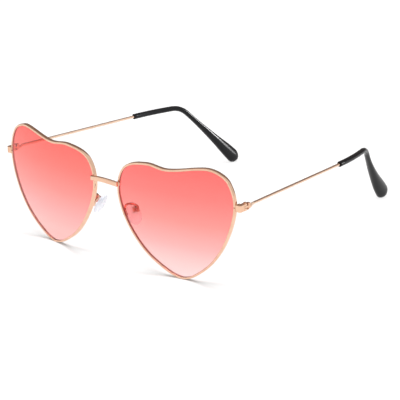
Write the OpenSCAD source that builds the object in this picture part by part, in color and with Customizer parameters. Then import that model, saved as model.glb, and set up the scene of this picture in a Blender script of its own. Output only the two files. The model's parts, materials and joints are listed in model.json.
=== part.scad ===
// Heart shaped sunglasses: thin metal front, tinted lenses, folding wire temples.
// +X is the wearer's left, +Y runs from the front to the ear tips, +Z is up.
// The origin is under the middle of the open glasses, on the surface they stand on.

/* [Rim and lens] */
// Width of one heart, over its rim
rim_w = 60.4; // [50:0.1:68]
// Height of one heart, over its rim
rim_h = 52.8; // [44:0.1:60]
// Wall of the rim, seen from the front
rim_t = 1; // [0.9:0.05:1.6]
// Depth of the rim, front to back
rim_d = 1.9; // [1.6:0.05:2.6]
// Depth of the groove that holds the lens
groove_d = 0.5; // [0.3:0.05:0.6]
// Width of the groove
groove_w = 0.9; // [0.6:0.05:1]
// Thickness of a lens
lens_t = 1.3; // [1:0.05:2]
// Radius of the lens's curve
lens_r = 150; // [90:1:400]
// Distance between the middles of the two lenses
lens_spacing = 74; // [70:0.5:84]
// Turn of each lens towards the temple, in degrees
wrap = 7.3; // [0:0.1:9]
// Lean of the lenses, top forwards, in degrees
tilt = 2.7; // [0:0.1:6]
// Gap that the split rim leaves at its lock
rim_split = 0.3; // [0.2:0.05:0.6]

/* [Bridge] */
// Height of the bridge bar, seen from the front
bridge_h = 2.2; // [1.4:0.1:3]
// Thickness of the bridge bar
bridge_t = 1.4; // [1:0.1:2]
// Height of the bridge above the middle of the lenses
bridge_up = 12.1; // [8:0.1:14]
// Length of the bar's end that laps over each rim
bridge_lap = 0.9; // [0.5:0.1:1.4]
// Bow of the bridge towards the front
bridge_bow = 0.9; // [0:0.1:3]
// Rise of the bridge's arch
bridge_arch_h = 0.8; // [0:0.1:3]

/* [Nose pads] */
// Length of a nose pad
pad_l = 10.5; // [10:0.5:16]
// Width of a nose pad
pad_w = 6.6; // [6:0.1:9]
// Thickness of a nose pad
pad_t = 2.4; // [2:0.1:3]
// Distance from the glasses' middle plane to a pad's middle
pad_out = 10.2; // [9:0.1:13]
// Distance that the pad's middle lies behind the lenses
pad_back = 5; // [4:0.1:10]
// Distance that the pad's middle lies below the middle of the lenses
pad_down = 2.5; // [0:0.1:6]
// Flare of the pads, bottoms apart, in degrees
pad_flare = 27; // [10:1:35]
// Lean of the pads, tops back, in degrees
pad_lean = 14; // [0:1:25]
// Turn of the pads' faces to the wearer, in degrees
pad_splay = 20; // [5:1:35]
// Diameter of the pad arm's wire
arm_dia = 1; // [0.8:0.05:1.3]
// Diameter of the pad screw
pad_screw_dia = 0.8; // [0.6:0.05:1]

/* [End piece and hinge] */
// Height of the end piece, its lock and the hinge
hinge_h = 3; // [2.8:0.1:5]
// Height of the hinge above the middle of the lenses
hinge_up = 11.1; // [7:0.1:13]
// Reach of the end piece beyond the rim
end_reach = 2.8; // [2.6:0.1:5]
// Thickness of the end piece's plate
end_t = 0.7; // [0.6:0.05:1.1]
// Depth of a rim lock block, front to back
lock_d = 1.9; // [1.7:0.1:3]
// Diameter of the rim lock screw
lock_screw_dia = 0.9; // [0.7:0.05:1.1]
// Radius of the hinge's knuckles
knuckle_r = 1; // [0.9:0.05:1.5]
// Diameter of the hinge screw
hinge_screw_dia = 0.8; // [0.6:0.05:1.1]
// Thickness of the hinge's leaves
leaf_t = 0.5; // [0.4:0.05:0.8]

/* [Temple] */
// Diameter of the temple's wire
wire_dia = 1.3; // [1.1:0.1:2]
// Distance along the wire from its head to the middle of the ear bend
ear_bend_at = 99.1; // [85:0.1:115]
// Turn of the wire towards the head, in degrees
toe_angle = 5.1; // [2:0.1:7]
// Turn of the ear tip towards the head, behind the ear bend, in degrees
tip_toe_angle = 27.5; // [8:0.1:30]
// Fall of the wire, in degrees
fall_angle = 2.4; // [0:0.1:5]
// Step up of the wire behind its head
wire_step = 0.7; // [0:0.1:1.5]

/* [Ear tip] */
// Distance along the wire at which the sleeve begins
tip_at = 71; // [60:0.1:80]
// Length of the sleeve beyond the middle of the ear bend
ear_drop = 44.7; // [38:0.1:52]
// Radius of the ear bend
ear_bend_r = 11; // [6:0.1:22]
// Diameter of the sleeve's mouth
tip_mouth_dia = 2.6; // [2.2:0.1:3.2]
// Greatest width of the sleeve's paddle
paddle_w = 7.2; // [5:0.1:9]
// Thickness of the paddle
paddle_t = 4.8; // [2.6:0.1:5]

/* [Fits] */
// Clearance of a lens in its groove
lens_gap = 0.08; // [0.05:0.01:0.15]
// Gap that solder fills between two metal pieces
solder_gap = 0.03; // [0.02:0.01:0.06]
// Running clearance round a screw, on the radius
run_gap = 0.05; // [0.03:0.01:0.08]
// Clearance between parts that slide past each other
side_gap = 0.1; // [0.08:0.01:0.2]
// Clearance of the wire in its sleeve, on the radius
sleeve_gap = 0.05; // [0.03:0.01:0.1]

/* [Hidden] */
$fn = 48;
// Runs past a face so that a cut leaves no skin
over = 0.2;
gold = [0.93, 0.66, 0.50];
pale_gold = [0.96, 0.76, 0.60];
tint = [1.0, 0.50, 0.50, 0.6];
gloss_black = [0.06, 0.06, 0.07];
clear = [0.93, 0.95, 0.97, 0.6];

// Points of the heart, as shares of half its width and half its height,
// from the bottom point round by the temple side; u is to the temple, v is up
heart_shares = [
  [0.05, -1.00], [0.41, -0.81], [0.71, -0.46], [0.92, 0.00], [1.00, 0.45],
  [0.91, 0.80], [0.75, 0.95], [0.52, 1.00], [-0.09, 0.89], [-0.46, 0.92],
  [-0.85, 0.79], [-1.00, 0.44], [-0.93, 0.00], [-0.69, -0.46], [-0.39, -0.78]
];
heart_steps = 6;
heart_count = len(heart_shares);

// Vectors and curves
function unit(a) = a / norm(a);
function mix(a, b, t) = a * (1 - t) + b * t;
function smooth(t) = let (k = min(1, max(0, t))) k * k * (3 - 2 * k);
function bezier(a, b, c, d, t) =
  a * pow(1 - t, 3) + b * 3 * t * pow(1 - t, 2) + c * 3 * t * t * (1 - t) + d * pow(t, 3);
function turn_x(p, a) = [p.x, p.y * cos(a) - p.z * sin(a), p.y * sin(a) + p.z * cos(a)];
function turn_y(p, a) = [p.x * cos(a) + p.z * sin(a), p.y, p.z * cos(a) - p.x * sin(a)];
function turn_z(p, a) = [p.x * cos(a) - p.y * sin(a), p.x * sin(a) + p.y * cos(a), p.z];

// The heart's outline, at the outer face of the rim
function heart_at(i) =
  let (s = heart_shares[(i + heart_count) % heart_count]) [s.x * rim_w / 2, s.y * rim_h / 2];
function heart_way(i) = unit(heart_at(i + 1) - heart_at(i - 1));
function heart_point(i, t) =
  let (third = norm(heart_at(i + 1) - heart_at(i)) / 3)
  bezier(heart_at(i), heart_at(i) + heart_way(i) * third,
    heart_at(i + 1) - heart_way(i + 1) * third, heart_at(i + 1), t);
outline = [for (i = [0:heart_count - 1]) for (j = [0:heart_steps - 1]) heart_point(i, j / heart_steps)];
outline_count = len(outline);
function outline_out(i) =
  let (n = outline_count, w = unit(outline[(i + 1) % n] - outline[(i + n - 1) % n])) [w.y, -w.x];
function outline_in(d) = [for (i = [0:outline_count - 1]) outline[i] - outline_out(i) * d];

// From a lens's own frame (u to the temple, w back, v up) to the left lens's place,
// with the middle of the lens at height zero
function bulge(u, v) = lens_r - sqrt(lens_r * lens_r - u * u - v * v);
function lens_place(p) = turn_z(turn_x(p, tilt), wrap) + [lens_spacing / 2, 0, 0];
function on_lens(u, v, w) = lens_place([u, bulge(u, v) + w, v]);

// Rim section: inward from the outline, and along the depth
rim_round = rim_t * 0.28;
rim_section = [
  [rim_t, -rim_d / 2 + rim_round * 0.6], [rim_t, -groove_w / 2],
  [rim_t - groove_d, -groove_w / 2 * 0.7], [rim_t - groove_d, groove_w / 2 * 0.7],
  [rim_t, groove_w / 2], [rim_t, rim_d / 2 - rim_round * 0.6],
  [rim_t - rim_round * 0.6, rim_d / 2], [rim_round, rim_d / 2],
  [0, rim_d / 2 - rim_round], [0, -rim_d / 2 + rim_round],
  [rim_round, -rim_d / 2], [rim_t - rim_round * 0.6, -rim_d / 2]
];
function rim_ring(p, out) =
  [for (s = rim_section) let (q = p - out * s.x) on_lens(q.x, q.y, bulge(p.x, p.y) - bulge(q.x, q.y) + s.y)];

// The split lies at the hinge's height on the temple side
split_list = [for (i = [0:outline_count - 1])
  if (outline[i].x > 0 && outline[i].y <= hinge_up && outline[(i + 1) % outline_count].y > hinge_up) i];
split_at = split_list[0];
function split_point(v) =
  let (a = outline[split_at], b = outline[(split_at + 1) % outline_count]) mix(a, b, (v - a.y) / (b.y - a.y));
split_out = unit(outline_out(split_at) + outline_out((split_at + 1) % outline_count));
rim_rings = concat(
  [rim_ring(split_point(hinge_up + rim_split / 2), split_out)],
  [for (i = [1:outline_count - 1]) let (k = (split_at + i) % outline_count)
    if (norm(outline[k] - split_point(hinge_up)) > rim_t) rim_ring(outline[k], outline_out(k))],
  [rim_ring(split_point(hinge_up - rim_split / 2), split_out)]
);

// Heights: the rims' lowest points stand at zero
lens_z = -min([for (r = rim_rings) for (p = r) p.z]);
hinge_z = lens_z + hinge_up;
bridge_z = lens_z + bridge_up;

// Outer face of the rim at the hinge's height
rim_side = on_lens(split_point(hinge_up).x, hinge_up, 0);
rim_side_x = max([for (k = [-1:1]) for (w = [-1, 1])
  on_lens(split_point(hinge_up).x, hinge_up + k * hinge_h / 2, w * rim_d / 2).x]);
rim_front_y = rim_side.y - rim_d / 2;

// End piece: a plate across the front that turns back to the hinge
end_x = rim_side_x + solder_gap;
end_out_x = end_x + end_reach;
end_corner_r = end_t * 1.2;
lock_w = end_reach - end_t - side_gap;
lock_y = rim_front_y + end_t + solder_gap;
lock_h = (hinge_h - rim_split) / 2;
lock_axis = [end_x + lock_w / 2, lock_y + lock_d / 2];
lock_head_r = lock_screw_dia * 0.85;
lock_head_h = lock_screw_dia * 0.45;
lock_slot_w = lock_screw_dia * 0.22;
end_back_y = lock_y + lock_d + side_gap;

// Hinge: the axis is upright, behind the end piece
leaf_y = end_back_y + solder_gap;
hinge_x = end_out_x - knuckle_r;
hinge_y = leaf_y + leaf_t + knuckle_r;
knuckle_h = (hinge_h - 2 * side_gap) / 3;
knuckle_run_r = knuckle_r - side_gap;
hinge_bore_r = hinge_screw_dia / 2 + run_gap;
hinge_head_r = hinge_screw_dia * 0.9;
hinge_head_h = hinge_screw_dia * 0.45;
hinge_slot_w = hinge_screw_dia * 0.22;
temple_leaf_y = hinge_y + knuckle_r + side_gap;
head_l = hinge_h * 0.4;
head_h = hinge_h * 0.8;
head_w = knuckle_r * 1.6;
head_end_y = temple_leaf_y + leaf_t + head_l;
wire_start = [hinge_x, head_end_y + solder_gap, hinge_z - wire_step];

// Fall of the ear tip beyond the bend, in degrees
ear_angle = 46.5;

// Course of the temple: distances along the wire from its head
sleeve_end = ear_bend_at + ear_drop;
bend_l = ear_bend_r * ear_angle * PI / 180;
// Shares of the turns that the sleeve has made where the ear bend begins
sleeve_turn_share = 0.6;
sleeve_fall_share = 0.05;
// Share of the turn that is left at the sleeve's end, which flares outwards
end_turn_share = 0.39;
pitch_table = [
  [0, fall_angle], [tip_at, fall_angle], [ear_bend_at - bend_l / 2, ear_angle * sleeve_fall_share],
  [ear_bend_at + bend_l / 2, ear_angle], [sleeve_end, ear_angle]
];
yaw_table = [
  [0, toe_angle], [tip_at, toe_angle], [ear_bend_at - bend_l / 2, tip_toe_angle * sleeve_turn_share],
  [ear_bend_at + bend_l / 2, tip_toe_angle], [sleeve_end, tip_toe_angle * end_turn_share]
];
course_count = 68;
course_step = sleeve_end / course_count;
function course_way(s) =
  let (pitch = lookup(s, pitch_table), yaw = lookup(s, yaw_table))
  [-sin(yaw) * cos(pitch), cos(yaw) * cos(pitch), -sin(pitch)];
course = [for (i = 0, p = wire_start; i <= course_count;
  p = p + course_way((i + 0.5) * course_step) * course_step, i = i + 1) p];
step_l = wire_dia * 1.6;
function course_point(s) =
  let (k = min(course_count - 1, max(0, floor(s / course_step))), t = s / course_step - k)
  mix(course[k], course[k + 1], t) + [0, 0, wire_step * smooth((s - wire_dia / 2) / step_l)];
// Level across the wire; past the bend the paddle's broad side leans inwards
function course_side(s) =
  let (w = course_way(s), lean = smooth((s - ear_bend_at + bend_l / 2) / bend_l))
  unit(mix([w.y, -w.x, 0], [-w.z, 0, w.x], lean));
function course_up(s) = cross(course_side(s), course_way(s));

// Sleeve stations: share of the sleeve's length, share of the paddle's width,
// share of its thickness
sleeve_l = sleeve_end - tip_at;
mouth_share = tip_mouth_dia / paddle_w;
mouth_t_share = tip_mouth_dia / paddle_t;
width_shares = [
  [0, mouth_share], [0.3, mouth_share * 0.98], [0.44, 0.34], [0.56, 0.33],
  [0.68, 0.49], [0.80, 0.72], [0.90, 1], [0.945, 1]
];
thick_shares = [
  [0, mouth_t_share], [0.3, mouth_t_share * 1.04], [0.5, 0.57], [0.68, 0.87], [0.84, 0.95], [1, 1]
];
end_cap_share = 0.5 * paddle_w / sleeve_l;
function cap_shape(t) = t < 1 - end_cap_share ? 1
  : sqrt(max(0, 1 - pow((t - 1 + end_cap_share) / end_cap_share, 2)));
tip_sides = 16;
sleeve_shares = [
  0, 0.06, 0.14, 0.22, 0.29, 0.33, 0.36, 0.39, 0.42, 0.45, 0.48, 0.52, 0.57,
  0.62, 0.67, 0.72, 0.77, 0.81, 0.85, 0.89, 0.92, 0.94, 0.957, 0.97, 0.981, 0.99, 0.996
];
function section_ring(s, half_w, half_t, sides) =
  [for (k = [0:sides - 1]) let (a = (k + 0.5) * 360 / sides)
    course_point(s) + course_side(s) * half_t * cos(a) + course_up(s) * half_w * sin(a)];
function sleeve_ring(t) =
  section_ring(tip_at + t * sleeve_l, lookup(t, width_shares) * paddle_w / 2 * cap_shape(t),
    lookup(t, thick_shares) * paddle_t / 2 * sqrt(cap_shape(t)), tip_sides);
core_end_share = 0.86;
bore_shares = [0, 0.1, 0.2, 0.3, 0.35, 0.39, 0.43, 0.47, 0.52, 0.58, 0.66, 0.74, 0.82, core_end_share];
function bore_ring(t) =
  let (r = wire_dia / 2 + sleeve_gap + side_gap)
  section_ring(tip_at + t * sleeve_l, r, r, tip_sides);
sleeve_rings_raw = [for (t = sleeve_shares) sleeve_ring(t)];
bore_rings_raw = [for (t = bore_shares) bore_ring(t)];
// The ear tips stand on the surface too: the temple's fall is trimmed to it
tip_low = min([for (r = sleeve_rings_raw) for (p = r) p.z]);
tip_low_y = max([for (r = sleeve_rings_raw) for (p = r) if (p.z < tip_low + side_gap) p.y]);
function trim(p) = [p.x, p.y, p.z - tip_low * (p.y - wire_start.y) / (tip_low_y - wire_start.y)];
function trim_rings(rings) = [for (r = rings) [for (p = r) trim(p)]];
sleeve_rings = trim_rings(sleeve_rings_raw);
bore_rings = trim_rings(bore_rings_raw);
wire_sides = 12;
wire_shares = [
  0, 0.006, 0.012, 0.018, 0.024, 0.03, 0.2, 0.4, 0.52, 0.57, 0.61, 0.64, 0.66,
  0.68, 0.70, 0.72, 0.74, 0.77, 0.81, 0.86, 0.92, 1
];
wire_end = tip_at + core_end_share * sleeve_l - wire_dia / 2;
wire_rings = trim_rings([for (t = wire_shares)
  section_ring(t * wire_end, wire_dia / 2, wire_dia / 2, wire_sides)]);

// Bridge: lap ends on the rims' fronts, bowed and arched between them
nasal = outline[[for (i = [0:outline_count - 1])
  if (outline[i].x < 0 && outline[i].y >= bridge_up && outline[(i + 1) % outline_count].y < bridge_up) i][0]];
bridge_end = on_lens(nasal.x + bridge_lap, bridge_up, -rim_d / 2);
bridge_half = bridge_end.x;
bridge_y = bridge_end.y - bridge_t / 2 - solder_gap;
bridge_steps = 16;
bridge_round = bridge_t * 0.4;
bridge_section = [
  [-bridge_t / 2 + bridge_round, -bridge_h / 2], [bridge_t / 2 - bridge_round, -bridge_h / 2],
  [bridge_t / 2, -bridge_h / 2 + bridge_round], [bridge_t / 2, bridge_h / 2 - bridge_round],
  [bridge_t / 2 - bridge_round, bridge_h / 2], [-bridge_t / 2 + bridge_round, bridge_h / 2],
  [-bridge_t / 2, bridge_h / 2 - bridge_round], [-bridge_t / 2, -bridge_h / 2 + bridge_round]
];
bridge_rings = [for (i = [0:bridge_steps]) let (t = 2 * i / bridge_steps - 1, rise = cos(90 * t))
  [for (s = bridge_section)
    [bridge_half * t, bridge_y + s.x - bridge_bow * rise, bridge_z + s.y + bridge_arch_h * rise]]];

// Middle of the whole length, which the origin lies under
front_y = min([for (r = bridge_rings) for (p = r) p.y]);
back_y = max([for (r = sleeve_rings) for (p = r) p.y]);
mid_y = (front_y + back_y) / 2;

// Nose pad: placed by its middle; its own frame has the bearing face to -X,
// its length along Z and its width along Y
pad_middle = [pad_out, pad_back, lens_z - pad_down];
function pad_place(p) = turn_x(turn_y(turn_z(p, -pad_splay), -pad_flare), -pad_lean) + pad_middle;
pad_sides = 28;
insert_t = 0.6;
insert_w = pad_w * 0.42;
insert_l = pad_l * 0.36;
lug_t = 1.1;
lug_w = pad_screw_dia * 2.1;
lug_l = lug_w;
// Pocket for the insert and slot for its lug, moulded round them
pocket_w = insert_w + 2 * solder_gap;
pocket_l = insert_l + 2 * solder_gap;
slot_t = lug_t + 2 * solder_gap;
slot_l = lug_l + 2 * solder_gap;
box_wall = 0.4;
// Distance from the pad's middle plane to the screw's axis
pad_axis_off = pad_t / 2 + lug_w * 0.62;
pad_lift = pad_l * 0.1;
box_in_w = lug_t + 2 * side_gap;
box_out_w = box_in_w + 2 * box_wall;
box_h = pad_screw_dia + 4.5 * box_wall;
box_reach = lug_w * 0.5;
pad_screw_head_r = pad_screw_dia * 0.8;
pad_screw_head_h = pad_screw_dia * 0.4;
pad_screw_l = box_out_w + box_wall;
pad_slot_w = pad_screw_dia * 0.25;
insert_at = pad_t * 0.06;
pad_bore_r = pad_screw_dia / 2 + run_gap;
pad_axis_at = [pad_axis_off, 0, pad_lift];
pad_narrow_share = 0.16;
// Shape of the pad's edge: share of its outline at each share of its thickness
pad_edge_shares = [[-0.5, 0.70], [-0.40, 0.86], [-0.20, 0.97], [0.05, 1], [0.30, 0.94], [0.5, 0.76]];
function pad_outline(a) =
  let (c = cos(a), s = sin(a), narrow = 1 - pad_narrow_share * s)
  [pad_w / 2 * c * narrow, pad_l / 2 * s];
function pad_rings() = [for (e = pad_edge_shares) [for (k = [0:pad_sides - 1])
  let (q = pad_outline(k * 360 / pad_sides) * e[1]) [e[0] * pad_t, q.x, q.y]]];

// Pad arm: a wire from the rim's back, up, back and down to the pad box
arm_foot_v = arm_dia - pad_down;
function nasal_at(v) = [for (i = [0:outline_count - 1])
  let (a = outline[i], b = outline[(i + 1) % outline_count])
  if (a.x < 0 && a.y >= v && b.y < v) mix(a, b, (v - a.y) / (b.y - a.y))][0];
function rim_back(v) =
  let (p = nasal_at(v), q = p.x + rim_t / 2)
  on_lens(q, v, bulge(p.x, v) - bulge(q, v) + rim_d / 2 + arm_dia / 2 + 3 * solder_gap) + [0, 0, lens_z];
box_back = pad_place(pad_axis_at + [box_reach + box_wall + arm_dia / 2 + solder_gap, 0, box_h * 0.1]);
box_foot = pad_place(pad_axis_at + [box_reach + box_wall + arm_dia / 2 + solder_gap, 0, -box_h * 0.4]);
arm_peel = rim_back(arm_foot_v + arm_dia * 3) + [0, arm_dia * 1.5, 0];
arm_points = [
  rim_back(arm_foot_v - arm_dia), rim_back(arm_foot_v + arm_dia * 1.2), arm_peel,
  mix(arm_peel, box_back, 0.5) + [0, 0, arm_dia * 1.1],
  box_back + [arm_dia * 0.2, 0, arm_dia * 0.7], box_foot
];
arm_steps = 5;
arm_sides = 8;
// A way that the arm never runs along, to set its rings by
arm_across = [1, 0.2, 0];
function arm_way(i) =
  unit(arm_points[min(i + 1, len(arm_points) - 1)] - arm_points[max(i - 1, 0)]);
function arm_point(i, t) =
  let (third = norm(arm_points[i + 1] - arm_points[i]) / 3)
  bezier(arm_points[i], arm_points[i] + arm_way(i) * third,
    arm_points[i + 1] - arm_way(i + 1) * third, arm_points[i + 1], t);
arm_line = concat(
  [for (i = [0:len(arm_points) - 2]) for (j = [0:arm_steps - 1]) arm_point(i, j / arm_steps)],
  [arm_points[len(arm_points) - 1]]);
function arm_ring(i) =
  let (n = len(arm_line), w = unit(arm_line[min(i + 1, n - 1)] - arm_line[max(i - 1, 0)]),
    a = unit(cross(w, arm_across)), b = cross(w, a))
  [for (k = [0:arm_sides - 1]) let (g = k * 360 / arm_sides)
    arm_line[i] + (a * cos(g) + b * sin(g)) * arm_dia / 2];

// A solid from rings of points, closed by a flat face at each end
module skin(rings) {
  n = len(rings[0]);
  m = len(rings);
  sides = [for (i = [0:m - 2]) for (k = [0:n - 1]) let (j = (k + 1) % n)
    each [[i * n + k, (i + 1) * n + k, (i + 1) * n + j], [i * n + k, (i + 1) * n + j, i * n + j]]];
  first = [[for (k = [0:n - 1]) k]];
  last = [[for (k = [0:n - 1]) (m - 1) * n + n - 1 - k]];
  polyhedron(points = [for (r = rings) each r], faces = concat(sides, first, last), convexity = 6);
}

// A sleeve: outer rings, and inner rings that share the mouth's plane
module hollow_skin(outer, inner) {
  n = len(outer[0]);
  m = len(outer);
  q = len(inner);
  base = m * n;
  out_sides = [for (i = [0:m - 2]) for (k = [0:n - 1]) let (j = (k + 1) % n)
    each [[i * n + k, (i + 1) * n + k, (i + 1) * n + j], [i * n + k, (i + 1) * n + j, i * n + j]]];
  in_sides = [for (i = [0:q - 2]) for (k = [0:n - 1]) let (j = (k + 1) % n, b = base + i * n)
    each [[b + k, b + n + j, b + n + k], [b + k, b + j, b + n + j]]];
  mouth = [for (k = [0:n - 1]) let (j = (k + 1) % n)
    each [[k, j, base + j], [k, base + j, base + k]]];
  out_end = [[for (k = [0:n - 1]) (m - 1) * n + n - 1 - k]];
  in_end = [[for (k = [0:n - 1]) base + (q - 1) * n + k]];
  polyhedron(points = [for (r = concat(outer, inner)) each r],
    faces = concat(out_sides, in_sides, mouth, out_end, in_end), convexity = 8);
}

// Sides: pieces are drawn for the left and mirrored for the right
module on_side(side) {
  translate([0, -mid_y, 0])
    mirror([side < 0 ? 1 : 0, 0, 0])
      children();
}
module in_lens_place() {
  translate([lens_spacing / 2, 0, lens_z])
    rotate([0, 0, wrap])
      rotate([tilt, 0, 0])
        children();
}
module in_pad_place() {
  translate(pad_middle)
    rotate([-pad_lean, 0, 0])
      rotate([0, -pad_flare, 0])
        rotate([0, 0, -pad_splay])
          children();
}
module upright_bore(at, r, low, high) {
  translate([at.x, at.y, low])
    cylinder(r = r, h = high - low);
}

module rim(side) {
  color(gold)
    on_side(side)
      translate([0, 0, lens_z])
        skin(rim_rings);
}

// A curved sheet between two spheres, with its middle at the lens's surface
module lens_sheet(thick, inset) {
  intersection() {
    rotate([90, 0, 0])
      linear_extrude(height = rim_w, center = true)
        polygon(outline_in(inset));
    translate([0, lens_r, 0])
      difference() {
        sphere(r = lens_r + thick / 2, $fn = 160);
        sphere(r = lens_r - thick / 2, $fn = 160);
      }
  }
}

// The bevel round the lens's edge stands in the rim's groove
module lens(side) {
  color(tint)
    on_side(side)
      in_lens_place()
        union() {
          lens_sheet(lens_t, rim_t + lens_gap);
          lens_sheet(groove_w * 0.7 - 2 * lens_gap, rim_t - groove_d + lens_gap);
        }
}

module bridge() {
  color(gold)
    on_side(1)
      skin(bridge_rings);
}

module end_piece(side) {
  color(pale_gold)
    on_side(side)
      translate([0, 0, hinge_z - hinge_h / 2])
        linear_extrude(height = hinge_h)
          difference() {
            union() {
              translate([end_x, rim_front_y])
                square([end_reach - end_corner_r, end_t]);
              translate([end_out_x - end_corner_r, rim_front_y + end_corner_r])
                circle(r = end_corner_r);
              translate([end_out_x - end_t, rim_front_y + end_corner_r])
                square([end_t, end_back_y - rim_front_y - end_corner_r]);
            }
            translate([end_x - over, lock_y - solder_gap])
              square([end_reach - end_t + over, end_back_y]);
          }
}

module lock_block(side, low) {
  color(pale_gold)
    on_side(side)
      difference() {
        translate([end_x, lock_y, low])
          cube([lock_w, lock_d, lock_h]);
        upright_bore(lock_axis, lock_screw_dia / 2 + run_gap, low - over, low + lock_h + over);
      }
}
module lock_upper(side) {
  lock_block(side, hinge_z + rim_split / 2);
}
module lock_lower(side) {
  lock_block(side, hinge_z - hinge_h / 2);
}

// A slotted screw with its head at the top or, turned over, at the bottom
module slotted_screw(dia, length, head_r, head_h, slot_w) {
  translate([0, 0, -length])
    cylinder(d = dia, h = length);
  difference() {
    cylinder(r = head_r, h = head_h);
    translate([-head_r - over, -slot_w / 2, head_h / 2])
      cube([2 * (head_r + over), slot_w, head_h]);
  }
}
module lock_screw(side) {
  color(gold)
    on_side(side)
      translate([lock_axis.x, lock_axis.y, hinge_z - hinge_h / 2 - solder_gap])
        rotate([180, 0, 0])
          slotted_screw(lock_screw_dia, hinge_h, lock_head_r, lock_head_h, lock_slot_w);
}
module hinge_screw(side) {
  color(gold)
    on_side(side)
      translate([hinge_x, hinge_y, hinge_z + hinge_h / 2 + solder_gap])
        slotted_screw(hinge_screw_dia, hinge_h, hinge_head_r, hinge_head_h, hinge_slot_w);
}

// Front leaf: a plate on the end piece, with the upper and lower knuckle
module hinge_leaf(side) {
  color(pale_gold)
    on_side(side)
      difference() {
        union() {
          translate([hinge_x - knuckle_r, leaf_y, hinge_z - hinge_h / 2])
            cube([2 * knuckle_r, leaf_t, hinge_h]);
          for (low = [hinge_z - hinge_h / 2, hinge_z + hinge_h / 2 - knuckle_h]) {
            translate([hinge_x - knuckle_r, leaf_y + leaf_t / 2, low])
              cube([2 * knuckle_r, knuckle_r + leaf_t / 2, knuckle_h]);
            translate([hinge_x, hinge_y, low])
              cylinder(r = knuckle_r, h = knuckle_h);
          }
        }
        upright_bore([hinge_x, hinge_y], hinge_bore_r, hinge_z - hinge_h, hinge_z + hinge_h);
      }
}

// Temple leaf: the middle knuckle, whose square heel meets the front leaf when open
module temple_leaf(side) {
  low = hinge_z - knuckle_h / 2;
  color(pale_gold)
    on_side(side)
      difference() {
        union() {
          translate([hinge_x, hinge_y, low])
            cylinder(r = knuckle_run_r, h = knuckle_h);
          translate([hinge_x, hinge_y - knuckle_run_r, low])
            cube([knuckle_run_r, knuckle_run_r, knuckle_h]);
          translate([hinge_x - knuckle_run_r, hinge_y, low])
            cube([2 * knuckle_run_r, temple_leaf_y + leaf_t / 2 - hinge_y, knuckle_h]);
          translate([hinge_x - knuckle_r, temple_leaf_y, hinge_z - hinge_h / 2])
            cube([2 * knuckle_r, leaf_t, hinge_h]);
          translate([hinge_x - head_w / 2, temple_leaf_y + leaf_t / 2, hinge_z - head_h / 2])
            cube([head_w, head_l + leaf_t / 2, head_h]);
        }
        upright_bore([hinge_x, hinge_y], hinge_bore_r, hinge_z - hinge_h, hinge_z + hinge_h);
      }
}

module temple_wire(side) {
  color(gold)
    on_side(side)
      skin(wire_rings);
}

module ear_tip(side) {
  color(gloss_black)
    on_side(side)
      hollow_skin(sleeve_rings, bore_rings);
}

module pad_arm(side) {
  color(gold)
    on_side(side)
      skin([for (i = [0:len(arm_line) - 1]) arm_ring(i)]);
}

// Pad box: a U of sheet metal with a screw across its two walls
module pad_box(side) {
  color(gold)
    on_side(side)
      in_pad_place()
        translate(pad_axis_at)
          difference() {
            translate([-box_reach, -box_out_w / 2, -box_h / 2])
              cube([2 * box_reach + box_wall, box_out_w, box_h]);
            translate([-box_reach - over, -box_in_w / 2, -box_h])
              cube([2 * box_reach + over, box_in_w, 2 * box_h]);
            rotate([90, 0, 0])
              cylinder(r = pad_bore_r, h = 2 * box_out_w, center = true);
          }
}

module pad_screw(side) {
  color(gold)
    on_side(side)
      in_pad_place()
        translate(pad_axis_at + [0, -box_out_w / 2 - solder_gap, 0])
          rotate([90, 0, 0])
            slotted_screw(pad_screw_dia, pad_screw_l, pad_screw_head_r, pad_screw_head_h, pad_slot_w);
}

// Pad insert: a plate in the pad and a lug that hangs in the box
module pad_insert(side) {
  color(clear)
    on_side(side)
      in_pad_place()
        difference() {
          union() {
            translate([insert_at, -insert_w / 2, pad_lift - insert_l / 2])
              cube([insert_t, insert_w, insert_l]);
            translate([insert_at, -lug_t / 2, pad_lift - lug_l / 2])
              cube([pad_axis_off - insert_at, lug_t, lug_l]);
            translate([pad_axis_off, 0, pad_lift])
              rotate([90, 0, 0])
                cylinder(d = lug_l, h = lug_t, center = true);
          }
          translate(pad_axis_at)
            rotate([90, 0, 0])
              cylinder(r = pad_bore_r, h = 2 * lug_t, center = true);
        }
}

// Nose pad: a soft oval, moulded round the insert
module nose_pad(side) {
  color(clear)
    on_side(side)
      in_pad_place()
        difference() {
          skin(pad_rings());
          translate([insert_at - solder_gap, -pocket_w / 2, pad_lift - pocket_l / 2])
            cube([insert_t + 2 * solder_gap, pocket_w, pocket_l]);
          translate([insert_at, -slot_t / 2, pad_lift - slot_l / 2])
            cube([pad_t, slot_t, slot_l]);
        }
}

rim(1);  // rim_left
rim(-1);  // rim_right
lens(1);  // lens_left
lens(-1);  // lens_right
bridge();
end_piece(1);  // end_piece_left
end_piece(-1);  // end_piece_right
lock_upper(1);  // lock_upper_left
lock_upper(-1);  // lock_upper_right
lock_lower(1);  // lock_lower_left
lock_lower(-1);  // lock_lower_right
lock_screw(1);  // lock_screw_left
lock_screw(-1);  // lock_screw_right
hinge_leaf(1);  // hinge_leaf_left
hinge_leaf(-1);  // hinge_leaf_right
hinge_screw(1);  // hinge_screw_left
hinge_screw(-1);  // hinge_screw_right
pad_arm(1);  // pad_arm_left
pad_arm(-1);  // pad_arm_right
pad_box(1);  // pad_box_left
pad_box(-1);  // pad_box_right
pad_screw(1);  // pad_screw_left
pad_screw(-1);  // pad_screw_right
pad_insert(1);  // pad_insert_left
pad_insert(-1);  // pad_insert_right
nose_pad(1);  // nose_pad_left
nose_pad(-1);  // nose_pad_right
temple_leaf(1);  // temple_leaf_left
temple_leaf(-1);  // temple_leaf_right
temple_wire(1);  // temple_wire_left
temple_wire(-1);  // temple_wire_right
ear_tip(1);  // ear_tip_left
ear_tip(-1);  // ear_tip_right
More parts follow.
